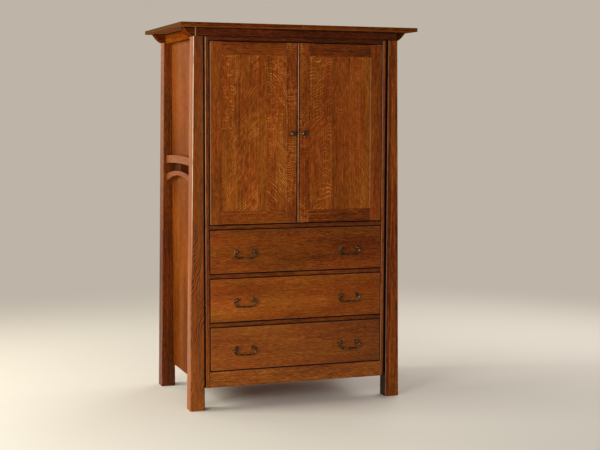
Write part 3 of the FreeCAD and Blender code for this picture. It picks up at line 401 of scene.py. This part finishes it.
def oak(name, **changes):
    look = {**oakLook, **changes}
    grain = oakGrain
    made, tree, shader, place = material(name)
    turned = mapped(tree, place, turn=grainTurn[look["grain"]],
                    shift=[look["seed"] * step for step in grain["seedShift"]])
    tone, fleckPart, blotchPart = look["tone"], 1.0, 1.0
    if look["boards"]:
        boardTone, fleckPart, boardSeed, blotchPart = boardSteps(tree, place, look["boards"])
        tone = plus(tree, boardTone, tone)
        acrossShift, alongShift = grain["boardShift"]
        jump = put(tree, "CombineXYZ", {"Y": times(tree, boardSeed, acrossShift),
                                        "Z": times(tree, boardSeed, alongShift)}).outputs[0]
        turned = put(tree, "VectorMath", {0: turned, 1: jump}, operation="ADD").outputs[0]

    cloud = noise(tree, mapped(tree, turned, grain["cloudScale"]))
    width = 1 / look["streakWidth"]
    lines = mapped(tree, turned, (width, width, look["streakTurns"]))
    streak = noise(tree, lines, detail=3.0, roughness=0.6, distortion=0.25)
    threads = mapped(tree, turned, (grain["threadScale"], grain["threadScale"],
                                    look["threadTurns"]), shift=grain["threadShift"])
    thread = noise(tree, threads, roughness=0.6)
    fine = noise(tree, mapped(tree, turned, grain["fineScale"]), roughness=0.6)
    pores = noise(tree, mapped(tree, turned, grain["poreScale"]), detail=1.0)
    pore = rising(tree, pores, *grain["pores"])
    value = plus(tree, 0.5, tone, swing(tree, cloud, look["cloud"] * 2),
                 swing(tree, streak, look["streak"] * 2), swing(tree, thread, look["thread"] * 2),
                 swing(tree, fine, look["fine"] * 2), times(tree, pore, -grain["poreDark"]))
    height = plus(tree, times(tree, streak, grain["streakBump"]),
                  times(tree, fine, grain["fineBump"]), times(tree, pore, -1.0))

    if look["fleck"]:
        flecks = times(tree, rayFleck(tree, turned, place, look), fleckPart)
        value = plus(tree, value, times(tree, flecks, look["fleck"]))
        height = plus(tree, height, times(tree, flecks, grain["fleckBump"]))
    if look["blotch"]:
        blotches = times(tree, paleBlotches(tree, place), blotchPart)
        value = plus(tree, value, times(tree, blotches, look["blotch"]))
    if look["cathedral"]:
        arches = cathedralLines(tree, place, look["cathedral"])
        value = plus(tree, value, times(tree, arches, -look["cathedral"]["amount"]))
    # a painted fall-off of light and shade across the piece
    if look["drift"]:
        upward = put(tree, "VectorMath", {0: place, 1: (0, 0, 1)}, operation="SUBTRACT").outputs[0]
        change = put(tree, "VectorMath", {0: upward, 1: look["drift"]}, operation="DOT_PRODUCT")
        value = plus(tree, value, change.outputs["Value"])
    inGap = 0.0
    # painted shade in gaps and quirks
    if look["glaze"]:
        inGap = paintedGapShade(tree, place, look)
        value = plus(tree, value, times(tree, inGap, -look["glaze"]))
    # painted shade lines beside gaps and joints
    if look["seams"]:
        value = less(tree, value, paintedShadeLines(tree, place, look["seams"]))

    stops = [(at, linear(*colour)) for at, colour in woodStops[look["stain"]]]
    stain = ramp(tree, value, stops)
    drifts = mapped(tree, turned, grain["warmthScale"], shift=grain["warmthShift"])
    warmth = rising(tree, noise(tree, drifts, detail=1.0), *grain["warmth"])
    golden = mixed(tree, 1.0, stain, grain["golden"], "MULTIPLY")
    ruddy = mixed(tree, 1.0, stain, grain["ruddy"], "MULTIPLY")
    colour = mixed(tree, plus(tree, warmth, look["red"]), golden, ruddy)
    if look["under"] is not None:
        colour = mixed(tree, underShare(tree, place, look), colour,
                       linear(*stainAndShadeShape["underColour"]))
    if look["endGrain"]:
        colour = mixed(tree, endShare(tree, place, look), colour,
                       linear(*stainAndShadeShape["endColour"]))
    # painted highlights along edges
    if look["rub"]:
        colour = mixed(tree, paintedEdgeHighlight(tree, place, look), colour, linear(*highlightShape["colour"]))
    feed(tree, shader.inputs["Base Color"], colour)

    gloss = plus(tree, look["roughness"], swing(tree, fine, grain["fineGloss"]),
                 times(tree, pore, grain["poreGloss"]), times(tree, inGap, grain["glazeGloss"]))
    feed(tree, shader.inputs["Roughness"], gloss)
    shader.inputs["Specular IOR Level"].default_value = look["specular"]
    coat = look["coat"]
    if look["coatAbove"] is not None:
        start = look["coatAbove"]
        top = rising(tree, parted(tree, place)["Z"], start, start + grain["coatFade"])
        coat = times(tree, top, coat)
    feed(tree, shader.inputs["Coat Weight"], coat)
    shader.inputs["Coat Roughness"].default_value = look["coatRoughness"]
    roughen(tree, shader, height, grain["bump"], grain["bumpDepth"])
    return made


# pull and knob bronze, and the steels of the fittings
metalLook = {
    "worn": 0.4,            # share of the lighter colour in the worn patches
    "patchScale": 90.0,
    "patches": (0.35, 0.7),
    "patchGloss": -0.08,
    "speckScale": 900.0,
    "speckGloss": 0.12,
    "bump": 0.25,
    "bumpDepth": 0.0002,
}
metals = {
    "antiqueBronze": {"base": (30, 22, 15), "light": (160, 132, 104), "roughness": 0.22,
                      "worn": 0.5},
    "darkSteel": {"base": (70, 60, 50), "light": (110, 96, 80), "roughness": 0.42},
    "zincSteel": {"base": (165, 168, 172), "light": (200, 202, 205), "roughness": 0.36},
}


def metal(name):
    look = {**metalLook, **metals[name]}
    made, tree, shader, place = material(name)
    patch = noise(tree, place, look["patchScale"], detail=3.0, roughness=0.6)
    patch = rising(tree, patch, *look["patches"])
    speck = noise(tree, place, look["speckScale"])
    colour = mixed(tree, times(tree, patch, look["worn"]), linear(*look["base"]),
                   linear(*look["light"]))
    feed(tree, shader.inputs["Base Color"], colour)
    gloss = plus(tree, look["roughness"], times(tree, patch, look["patchGloss"]),
                 times(tree, speck, look["speckGloss"]))
    feed(tree, shader.inputs["Roughness"], gloss)
    shader.inputs["Metallic"].default_value = 1.0
    roughen(tree, shader, speck, look["bump"], look["bumpDepth"])
    return made


grommetLook = {
    "colour": (50, 36, 26),
    "light": (75, 54, 39),
    "cloudScale": 40.0,
    "cloud": 0.5,
    "grainScale": 1500.0,
    "roughness": 0.5,
    "grainGloss": 0.15,
    "bump": 0.4,
    "bumpDepth": 0.0003,
}


def plastic(name, look):
    made, tree, shader, place = material(name)
    grain = noise(tree, place, look["grainScale"], roughness=0.6)
    cloud = noise(tree, place, look["cloudScale"])
    colour = mixed(tree, times(tree, cloud, look["cloud"]), linear(*look["colour"]),
                   linear(*look["light"]))
    feed(tree, shader.inputs["Base Color"], colour)
    feed(tree, shader.inputs["Roughness"], plus(tree, look["roughness"],
                                                times(tree, grain, look["grainGloss"])))
    roughen(tree, shader, grain, look["bump"], look["bumpDepth"])
    return made


# the tone of each drawer front; the change along X is a painted fall-off of light towards the
# right
drawerLooks = {
    "bottom": {"seed": 25, "tone": -0.06, "drift": (-0.21, 0, 0), "red": -0.55,
               "specular": 0.13},
    "middle": {"seed": 26, "tone": 0.03, "drift": (-0.06, 0, 0)},
    "top": {"seed": 27, "tone": -0.085, "drift": (-0.08, 0, 0)},
}
drawerFigure = {"grain": "X", "streak": 0.2, "streakTurns": 7.0, "thread": 0.27,
                "threadTurns": 48.0, "fleck": 0.12, "fleckTilt": 75}
measures = {
    "postTaper": 0.025,       # how far the outer faces lean in
    "quirk": 0.0085,          # width of the dark groove beside each front post
    "panelLap": 0.009,        # how far a door panel reaches into its frame
    "seamReach": 0.0042,
    "seamStrength": 0.55,
    "archGap": 1.225,         # height of the gap between the arched rails
}

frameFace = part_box("left_door_stiles")[0].y
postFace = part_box("front_left_post")[0].y
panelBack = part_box("back_left_post")[0].y
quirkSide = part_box("front_right_post")[0].x
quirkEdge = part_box("left_stile")[0].x + measures["quirk"]
frontHalf = -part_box("left_door_stiles")[0].x
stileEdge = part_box("right_stile")[0].x
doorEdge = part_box("right_door_stiles")[0].x
rightPanelLow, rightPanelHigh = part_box("right_door_panel")
panelEdge = rightPanelHigh.x - measures["panelLap"]
crownLow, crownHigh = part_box("crown_board")
friezeLow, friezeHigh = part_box("front_frieze")
halfGap = (stileEdge - frontHalf) / 2


def shadeLine(axis, place, reach=measures["seamReach"], strength=measures["seamStrength"]):
    return axis, place, reach, strength


def rub(axis, place, strength, lean=0):
    return axis, place, lean, strength


def perimeter(node, left, rest):
    # the painted highlight along a piece's outline, stronger on the side that faces the brightest
    # lamp
    low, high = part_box(node)
    return (rub("X", low.x, left), rub("X", high.x, rest),
            rub("Z", low.z, rest), rub("Z", high.z, rest))


def tapered(node, strength):
    # the painted highlight on the outer edge of a post, which leans in towards the top
    low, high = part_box(node)
    return (rub("X", low.x, strength, lean=measures["postTaper"] / (high.z - low.z)),)


# painted shade lines beside the gaps around the doors and drawers
sideShadeLines = [shadeLine("X", side * (frontHalf + halfGap)) for side in (-1, 1)]
levelShadeLines = []
for node in ["left_door_stiles"] + [drawer + "_drawer_front" for drawer in drawerLooks]:
    low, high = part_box(node)
    levelShadeLines += [shadeLine("Z", low.z - halfGap), shadeLine("Z", high.z + halfGap)]
# painted shade on the side panels, beside the back posts and between the arched rails
panelShadeLines = [shadeLine("Y", panelBack, reach=0.012, strength=0.3),
              shadeLine("Z", measures["archGap"], reach=0.04, strength=0.27)]

# finishes and painted shade that several pieces share
quiet = {"streak": 0.2, "cloud": 0.15}
matt = {"specular": 0.02, "coat": 0.0}
bare = {"specular": 0.0, "coat": 0.0}
inside = {"tone": 0.02, "roughness": 0.5, "coat": 0.08}
darkGap = {"glaze": 0.6, "front": frameFace}
level = {"grain": "X", "seams": levelShadeLines, **darkGap}
sidePanel = {"fleck": 0.12, "fleckTilt": 70, "seams": panelShadeLines, **matt}
stileFleck = {"fleck": 0.5, "fleckTilt": 8.0, "fleckSpacing": 0.0095, "fleckLength": 0.022,
              "fleckSwirl": 1.0}

# in each piece, the edge entries paint highlights, the line and gap entries paint shade, and the
# slope of tone paints a fall-off of light
oakPieces = {
    "front_left_post": {
        "seed": 1, "tone": 0.472, "red": -0.2, "drift": (0, 1.6, -0.13), "front": postFace,
        "streak": 0.18, "thread": 0.24, "specular": 0.12, "coat": 0.12,
        "cathedral": footFigure, "seams": [shadeLine("X", -quirkSide)],
        "rub": tapered("front_left_post", 0.66), "rubWidth": 0.0036, "rubDepth": 0.0036,
        "rubRise": (0.6, 1.15)},
    "front_right_post": {
        "seed": 2, "tone": -0.03, "red": 0.2, "drift": (0, 0, -0.01), "front": postFace,
        "streak": 0.6, "streakWidth": 0.007, "rub": (rub("X", quirkSide, 0.25),),
        "seams": [shadeLine("X", quirkSide, reach=0.0015, strength=0.9),
                  shadeLine("X", quirkSide + 0.010, reach=0.009, strength=0.12)]},
    # its dark tone is painted shade on this recessed post
    "back_left_post": {"seed": 3, "tone": -0.185, "drift": (0, 0, 0.07), "specular": 0.12},
    "back_right_post": {"seed": 4},
    "left_side_panel": {"seed": 5, "tone": -0.135, "red": -0.4, "drift": (0, 0, 0.055),
                        **sidePanel},
    "right_side_panel": {"seed": 6, "tone": -0.04, "red": -0.3, **sidePanel},
    "left_stile": {
        "seed": 7, "tone": -0.1, "red": -0.1, "drift": (0, 0, -0.1), **quiet, **darkGap,
        "glazeDepth": 0.013, "seams": sideShadeLines[:1],
        "rub": (rub("X", quirkEdge + 0.0012, 0.6),), "rubWidth": 0.002, "rubRise": (0.1, 1.5)},
    "right_stile": {
        "seed": 8, "red": 0.2, **quiet, **darkGap, "glazeDepth": 0.013,
        "rub": (rub("X", stileEdge, 0.3),),
        "seams": sideShadeLines[1:] + [shadeLine("X", quirkSide - measures["quirk"] - 0.003,
                                       reach=0.0036)]},
    "top_rail": {"seed": 9, "tone": -0.30, **level},
    "cross_rails": {
        "seed": 10, "tone": -0.13, "red": -0.2, **level,
        "boards": ("Z", 0.0, 1.2, [(0, 0, 1, 0), (0.56, -0.02, 1, 0), (0.8, -0.04, 1, 0)])},
    "bottom_rail": {
        "seed": 11, "tone": -0.02, "red": -0.5, "specular": 0.14, **level,
        "fleck": 0.2, "fleckTilt": 60, "fleckSpacing": 0.012},
    "front_frieze": {
        # its dark tone is painted shade from the crown's overhang
        "seed": 12, "grain": "X", "tone": -0.32, "red": 0.1, "front": friezeHigh.y,
        "rub": (rub("X", friezeLow.x, 0.3), rub("X", friezeHigh.x, 0.12)),
        "rubWidth": 0.0016, "rubDepth": 0.0016,
        "seams": [shadeLine("Z", friezeHigh.z - 0.002, reach=0.006, strength=0.13),
                  shadeLine("Z", friezeLow.z + 0.002, reach=0.004, strength=0.16)]},
    "side_friezes": {"seed": 13, "grain": "Y", "tone": -0.13, **bare,
                     "seams": [shadeLine("Z", friezeHigh.z, reach=0.005)]},
    "back_frieze": {"seed": 14, "grain": "X"},
    "corbels": {
        "seed": 15, "grain": "X", "tone": -0.28, "red": 0.2, **bare, "front": friezeHigh.y,
        "rub": (rub("Y", friezeHigh.y + 0.0024, 0.6),), "rubWidth": 0.0018,
        "rubDepth": 0.0018, "seams": [shadeLine("Z", friezeHigh.z, reach=0.004)]},
    "crown_board": {
        "seed": 16, "grain": "X", "tone": -0.09, "endGrain": 1.0,
        "ends": (crownLow.x, crownHigh.x), "under": crownLow.z,
        "specular": 0.0, "coat": 0.10, "coatAbove": crownHigh.z - 0.0007,
        "seams": [shadeLine("Y", crownLow.y, reach=0.003, strength=0.05),
                  shadeLine("Z", crownLow.z, reach=0.004, strength=0.04)]},
    "left_arch_rails": {"seed": 17, "grain": "Y", "tone": -0.12, "red": -0.3},
    "right_arch_rails": {"seed": 18, "grain": "Y", "tone": -0.05},
    "accent_blocks": {"seed": 35, "tone": -0.5, "streak": 0.1, "cloud": 0.1, "fine": 0.1, **bare},
    "left_door_stiles": {
        "seed": 19, "tone": -0.03, "red": 0.2, **stileFleck, **darkGap,
        "rub": perimeter("left_door_stiles", left=0.3, rest=0.15),
        "seams": [shadeLine("X", -doorEdge - 0.0032, reach=0.0032, strength=0.4)],
        "boards": ("X", -0.48, 0.0, [(-0.48, 0.03, 0, 0), (-0.2, -0.02, 1, 0)])},
    "right_door_stiles": {
        "seed": 20, "tone": -0.02, "red": 0.3, **stileFleck, **darkGap,
        "rub": perimeter("right_door_stiles", left=0.5, rest=0.15),
        "rubWidth": 0.0030, "rubDepth": 0.010, "rubRise": (0.5, 1.5),
        "seams": [shadeLine("X", doorEdge + 0.0064, reach=0.0028, strength=0.4)],
        "boards": ("X", 0.0, 0.48, [(0.0, -0.04, 1, 0), (0.2, 0.0, 0, 0)])},
    "left_door_rails": {
        "seed": 21, "grain": "X", "fleck": 0.2, "fleckTilt": 40, **darkGap,
        "boards": ("Z", 0.9, 1.9, [(0.9, -0.03, 1, 0), (1.4, -0.06, 0.4, 0)])},
    "right_door_rails": {
        "seed": 22, "grain": "X", "red": 0.2, "fleck": 0.2, "fleckTilt": 70, **darkGap,
        "boards": ("Z", 0.9, 1.9, [(0.9, -0.12, 0.6, 0), (1.4, -0.25, 1, 0)])},
    "left_door_panel": {
        "seed": 23, "tone": -0.02, "fleck": 0.42, "fleckSpacing": 0.0092, "fleckCrest": -0.16,
        "blotch": 0.24,
        "boards": ("X", -0.41, -0.06, [(-0.41, 0.02, 0.5, 1), (-0.345, 0.02, 1, 0),
                                       (-0.212, 0.04, 0.35, 0.2), (-0.165, -0.01, 0.9, 0.8)])},
    "right_door_panel": {
        "seed": 24, "red": 0.1, "fleck": 0.40, "fleckSpacing": 0.0092, "fleckCrest": 0.16,
        "fleckSwirl": 1.3, "blotch": 0.22, "front": rightPanelLow.y,
        "rub": (rub("X", panelEdge, 0.3),),
        "boards": ("X", 0.06, 0.41, [(0.06, -0.04, 0.75, 0.5), (0.189, -0.03, 0.5, 0),
                                     (0.287, 0.04, 0.5, 0.3)])},
    "case_bottom": {"seed": 28, "grain": "X", **inside},
    "case_top": {"seed": 29, "grain": "X", **inside},
    "deck": {"seed": 30, "grain": "X", **inside},
    "shelf": {"seed": 31, "grain": "X", **inside},
    "back_panels": {
        "seed": 32, **inside,
        "boards": ("X", -0.6, 0.6, [(-0.6, 0, 1, 0), (-0.3, 0.03, 1, 0), (0.0, -0.03, 1, 0),
                                    (0.3, 0.02, 1, 0)])},
    "back_rails": {"seed": 33, "grain": "X", **inside},
    "slide_cleats": {"seed": 34, "grain": "Y", **inside},
}
for drawer, changes in drawerLooks.items():
    node = drawer + "_drawer_front"
    oakPieces[node] = {**drawerFigure, **darkGap, **changes,
                       "rub": perimeter(node, left=0.10, rest=0.14)}


def finishName(node, wood):
    first, *others = node.split("_")
    return first + "".join(word.capitalize() for word in others) + wood


def dress(node, finish):
    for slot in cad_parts[node].material_slots:
        slot.material = finish


for node, changes in oakPieces.items():
    dress(node, oak(finishName(node, "Oak"), **changes))
print("oak done:", len(oakPieces), "pieces")

bronze, darkSteel, zincSteel = (metal(name) for name in metals)
maple = oak("clearMaple", seed=40, grain="Y", stain="pale", tone=-0.05, red=-0.2, streak=0.1,
            cloud=0.1, thread=0.12, fine=0.08, coat=0.1)
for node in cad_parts:
    if node.endswith(("_knob", "_bail", "_pull_posts")):
        dress(node, bronze)
    elif node.endswith("_hardware") or node in ("frame_hinge_leaves", "magnetic_catches"):
        dress(node, darkSteel)
    elif node.endswith("_runners") or node in ("case_slides", "shelf_pins"):
        dress(node, zincSteel)
    elif node.endswith("_box"):
        dress(node, maple)
dress("cable_grommet", plastic("brownPlastic", grommetLook))
print("metal, drawer boxes and grommet done")


studio = {
    "floor": (224, 218, 209),
    "fibreShade": 0.94,     # of the floor's colour
    "fibreShare": 0.25,
    "fibreScale": 60.0,
    "floorRoughness": 0.85,
    "floorSpecular": 0.1,
    "paper": (190, 181, 168),
    "floorRadius": 24.0,
    "fade": (1.7, 4.6),     # metres from the middle where the floor turns into the backdrop
    "air": 0.22,            # strength of the soft light from all sides
    "airColour": (255, 250, 243),
}


def backdropShare(tree):
    # the backdrop is seen, also in metal, but gives no light to the object
    rays = put(tree, "LightPath").outputs
    return most(tree, rays["Is Camera Ray"], rays["Is Glossy Ray"], rays["Is Transmission Ray"])


def floorPaper(name):
    made, tree, shader, place = material(name)
    fibre = noise(tree, place, studio["fibreScale"], detail=3.0)
    darker = [part * studio["fibreShade"] for part in studio["floor"]]
    colour = mixed(tree, times(tree, fibre, studio["fibreShare"]), linear(*studio["floor"]),
                   linear(*darker))
    feed(tree, shader.inputs["Base Color"], colour)
    shader.inputs["Roughness"].default_value = studio["floorRoughness"]
    shader.inputs["Specular IOR Level"].default_value = studio["floorSpecular"]
    away = put(tree, "VectorMath", {0: place}, operation="LENGTH").outputs["Value"]
    glow = put(tree, "Emission", {"Color": linear(*studio["paper"]), "Strength": 1.0})
    amount = times(tree, rising(tree, away, *studio["fade"]), backdropShare(tree))
    blend = put(tree, "MixShader", {0: amount, 1: shader.outputs[0], 2: glow.outputs[0]})
    feed(tree, tree.nodes["Material Output"].inputs["Surface"], blend.outputs[0])
    return made


def makeFloor():
    sheet = bmesh.new()
    bmesh.ops.create_circle(sheet, cap_ends=True, segments=96, radius=studio["floorRadius"])
    bmesh.ops.recalc_face_normals(sheet, faces=sheet.faces)
    mesh = bpy.data.meshes.new("studioFloor")
    sheet.to_mesh(mesh)
    sheet.free()
    mesh.materials.append(floorPaper("studioPaper"))
    floor = bpy.data.objects.new("studioFloor", mesh)
    bpy.context.scene.collection.objects.link(floor)


def makeAir():
    world = bpy.data.worlds.new("studioAir")
    bpy.context.scene.world = world
    world.use_nodes = True
    tree = world.node_tree
    air = tree.nodes["Background"]
    feed(tree, air.inputs["Color"], linear(*studio["airColour"]))
    feed(tree, air.inputs["Strength"], studio["air"])
    paper = put(tree, "Background", {"Color": linear(*studio["paper"]), "Strength": 1.0})
    blend = put(tree, "MixShader", {0: backdropShare(tree), 1: air.outputs[0],
                                    2: paper.outputs[0]})
    feed(tree, tree.nodes["World Output"].inputs["Surface"], blend.outputs[0])


lamps = {
    "windowLight": {"place": (-4.2, 0.5, 2.5), "target": (-0.5, 0.0, 1.3), "size": 2.0,
                    "power": 170, "colour": (250, 252, 238)},
    "edgeLight": {"place": (-3.0, 3.2, 2.2), "target": (-0.5, 0.0, 1.3), "size": 2.4,
                  "power": 48, "colour": (255, 240, 212)},
    "sideFill": {"place": (-3.4, -3.0, 1.1), "target": (0.0, -0.3, 0.9), "size": 1.8,
                 "power": 128, "colour": (253, 250, 244)},
    "frontFill": {"place": (-1.6, -6.3, 4.2), "target": (-0.1, 0.0, 0.9), "size": 4.0,
                  "power": 38, "colour": (255, 250, 244)},
    "rightFill": {"place": (4.4, 0.9, 2.4), "target": (0.5, 0.0, 1.1), "size": 2.4,
                  "power": 80, "colour": (255, 252, 248)},
    "backFill": {"place": (3.8, 4.2, 3.2), "target": (0.0, 0.0, 1.0), "size": 3.0,
                 "power": 110, "colour": (255, 252, 248)},
}


def makeLamp(name, lamp):
    data = bpy.data.lights.new(name, "AREA")
    data.energy = lamp["power"]
    data.size = lamp["size"]
    data.color = linear(*lamp["colour"])[:3]
    made = bpy.data.objects.new(name, data)
    place = Vector(lamp["place"])
    aim = (Vector(lamp["target"]) - place).to_track_quat("-Z", "Y")
    made.matrix_world = Matrix.Translation(place) @ aim.to_matrix().to_4x4()
    bpy.context.scene.collection.objects.link(made)


camera = {
    "place": (-2.1612, -6.4023, 1.5250),
    "turn": 0.3435,       # radians to the right of straight ahead
    "tilt": 0.08985,      # radians down
    "roll": 0.00307,
    "lens": 74.6,         # millimetres, as the sensor is
    "sensor": 36.0,
    "farthest": 100.0,
}


def makeCamera():
    data = bpy.data.cameras.new("viewCamera")
    data.lens = camera["lens"]
    data.sensor_width = camera["sensor"]
    data.clip_end = camera["farthest"]
    made = bpy.data.objects.new("viewCamera", data)
    turn = Matrix.Rotation(-camera["turn"], 4, "Z")
    tilt = Matrix.Rotation(math.pi / 2 - camera["tilt"], 4, "X")
    roll = Matrix.Rotation(camera["roll"], 4, "Z")
    made.matrix_world = Matrix.Translation(Vector(camera["place"])) @ turn @ tilt @ roll
    bpy.context.scene.collection.objects.link(made)
    bpy.context.scene.camera = made


makeFloor()
makeAir()
for name, lamp in lamps.items():
    makeLamp(name, lamp)
makeCamera()
bpy.context.scene.view_settings.view_transform = "Standard"
print("studio done")
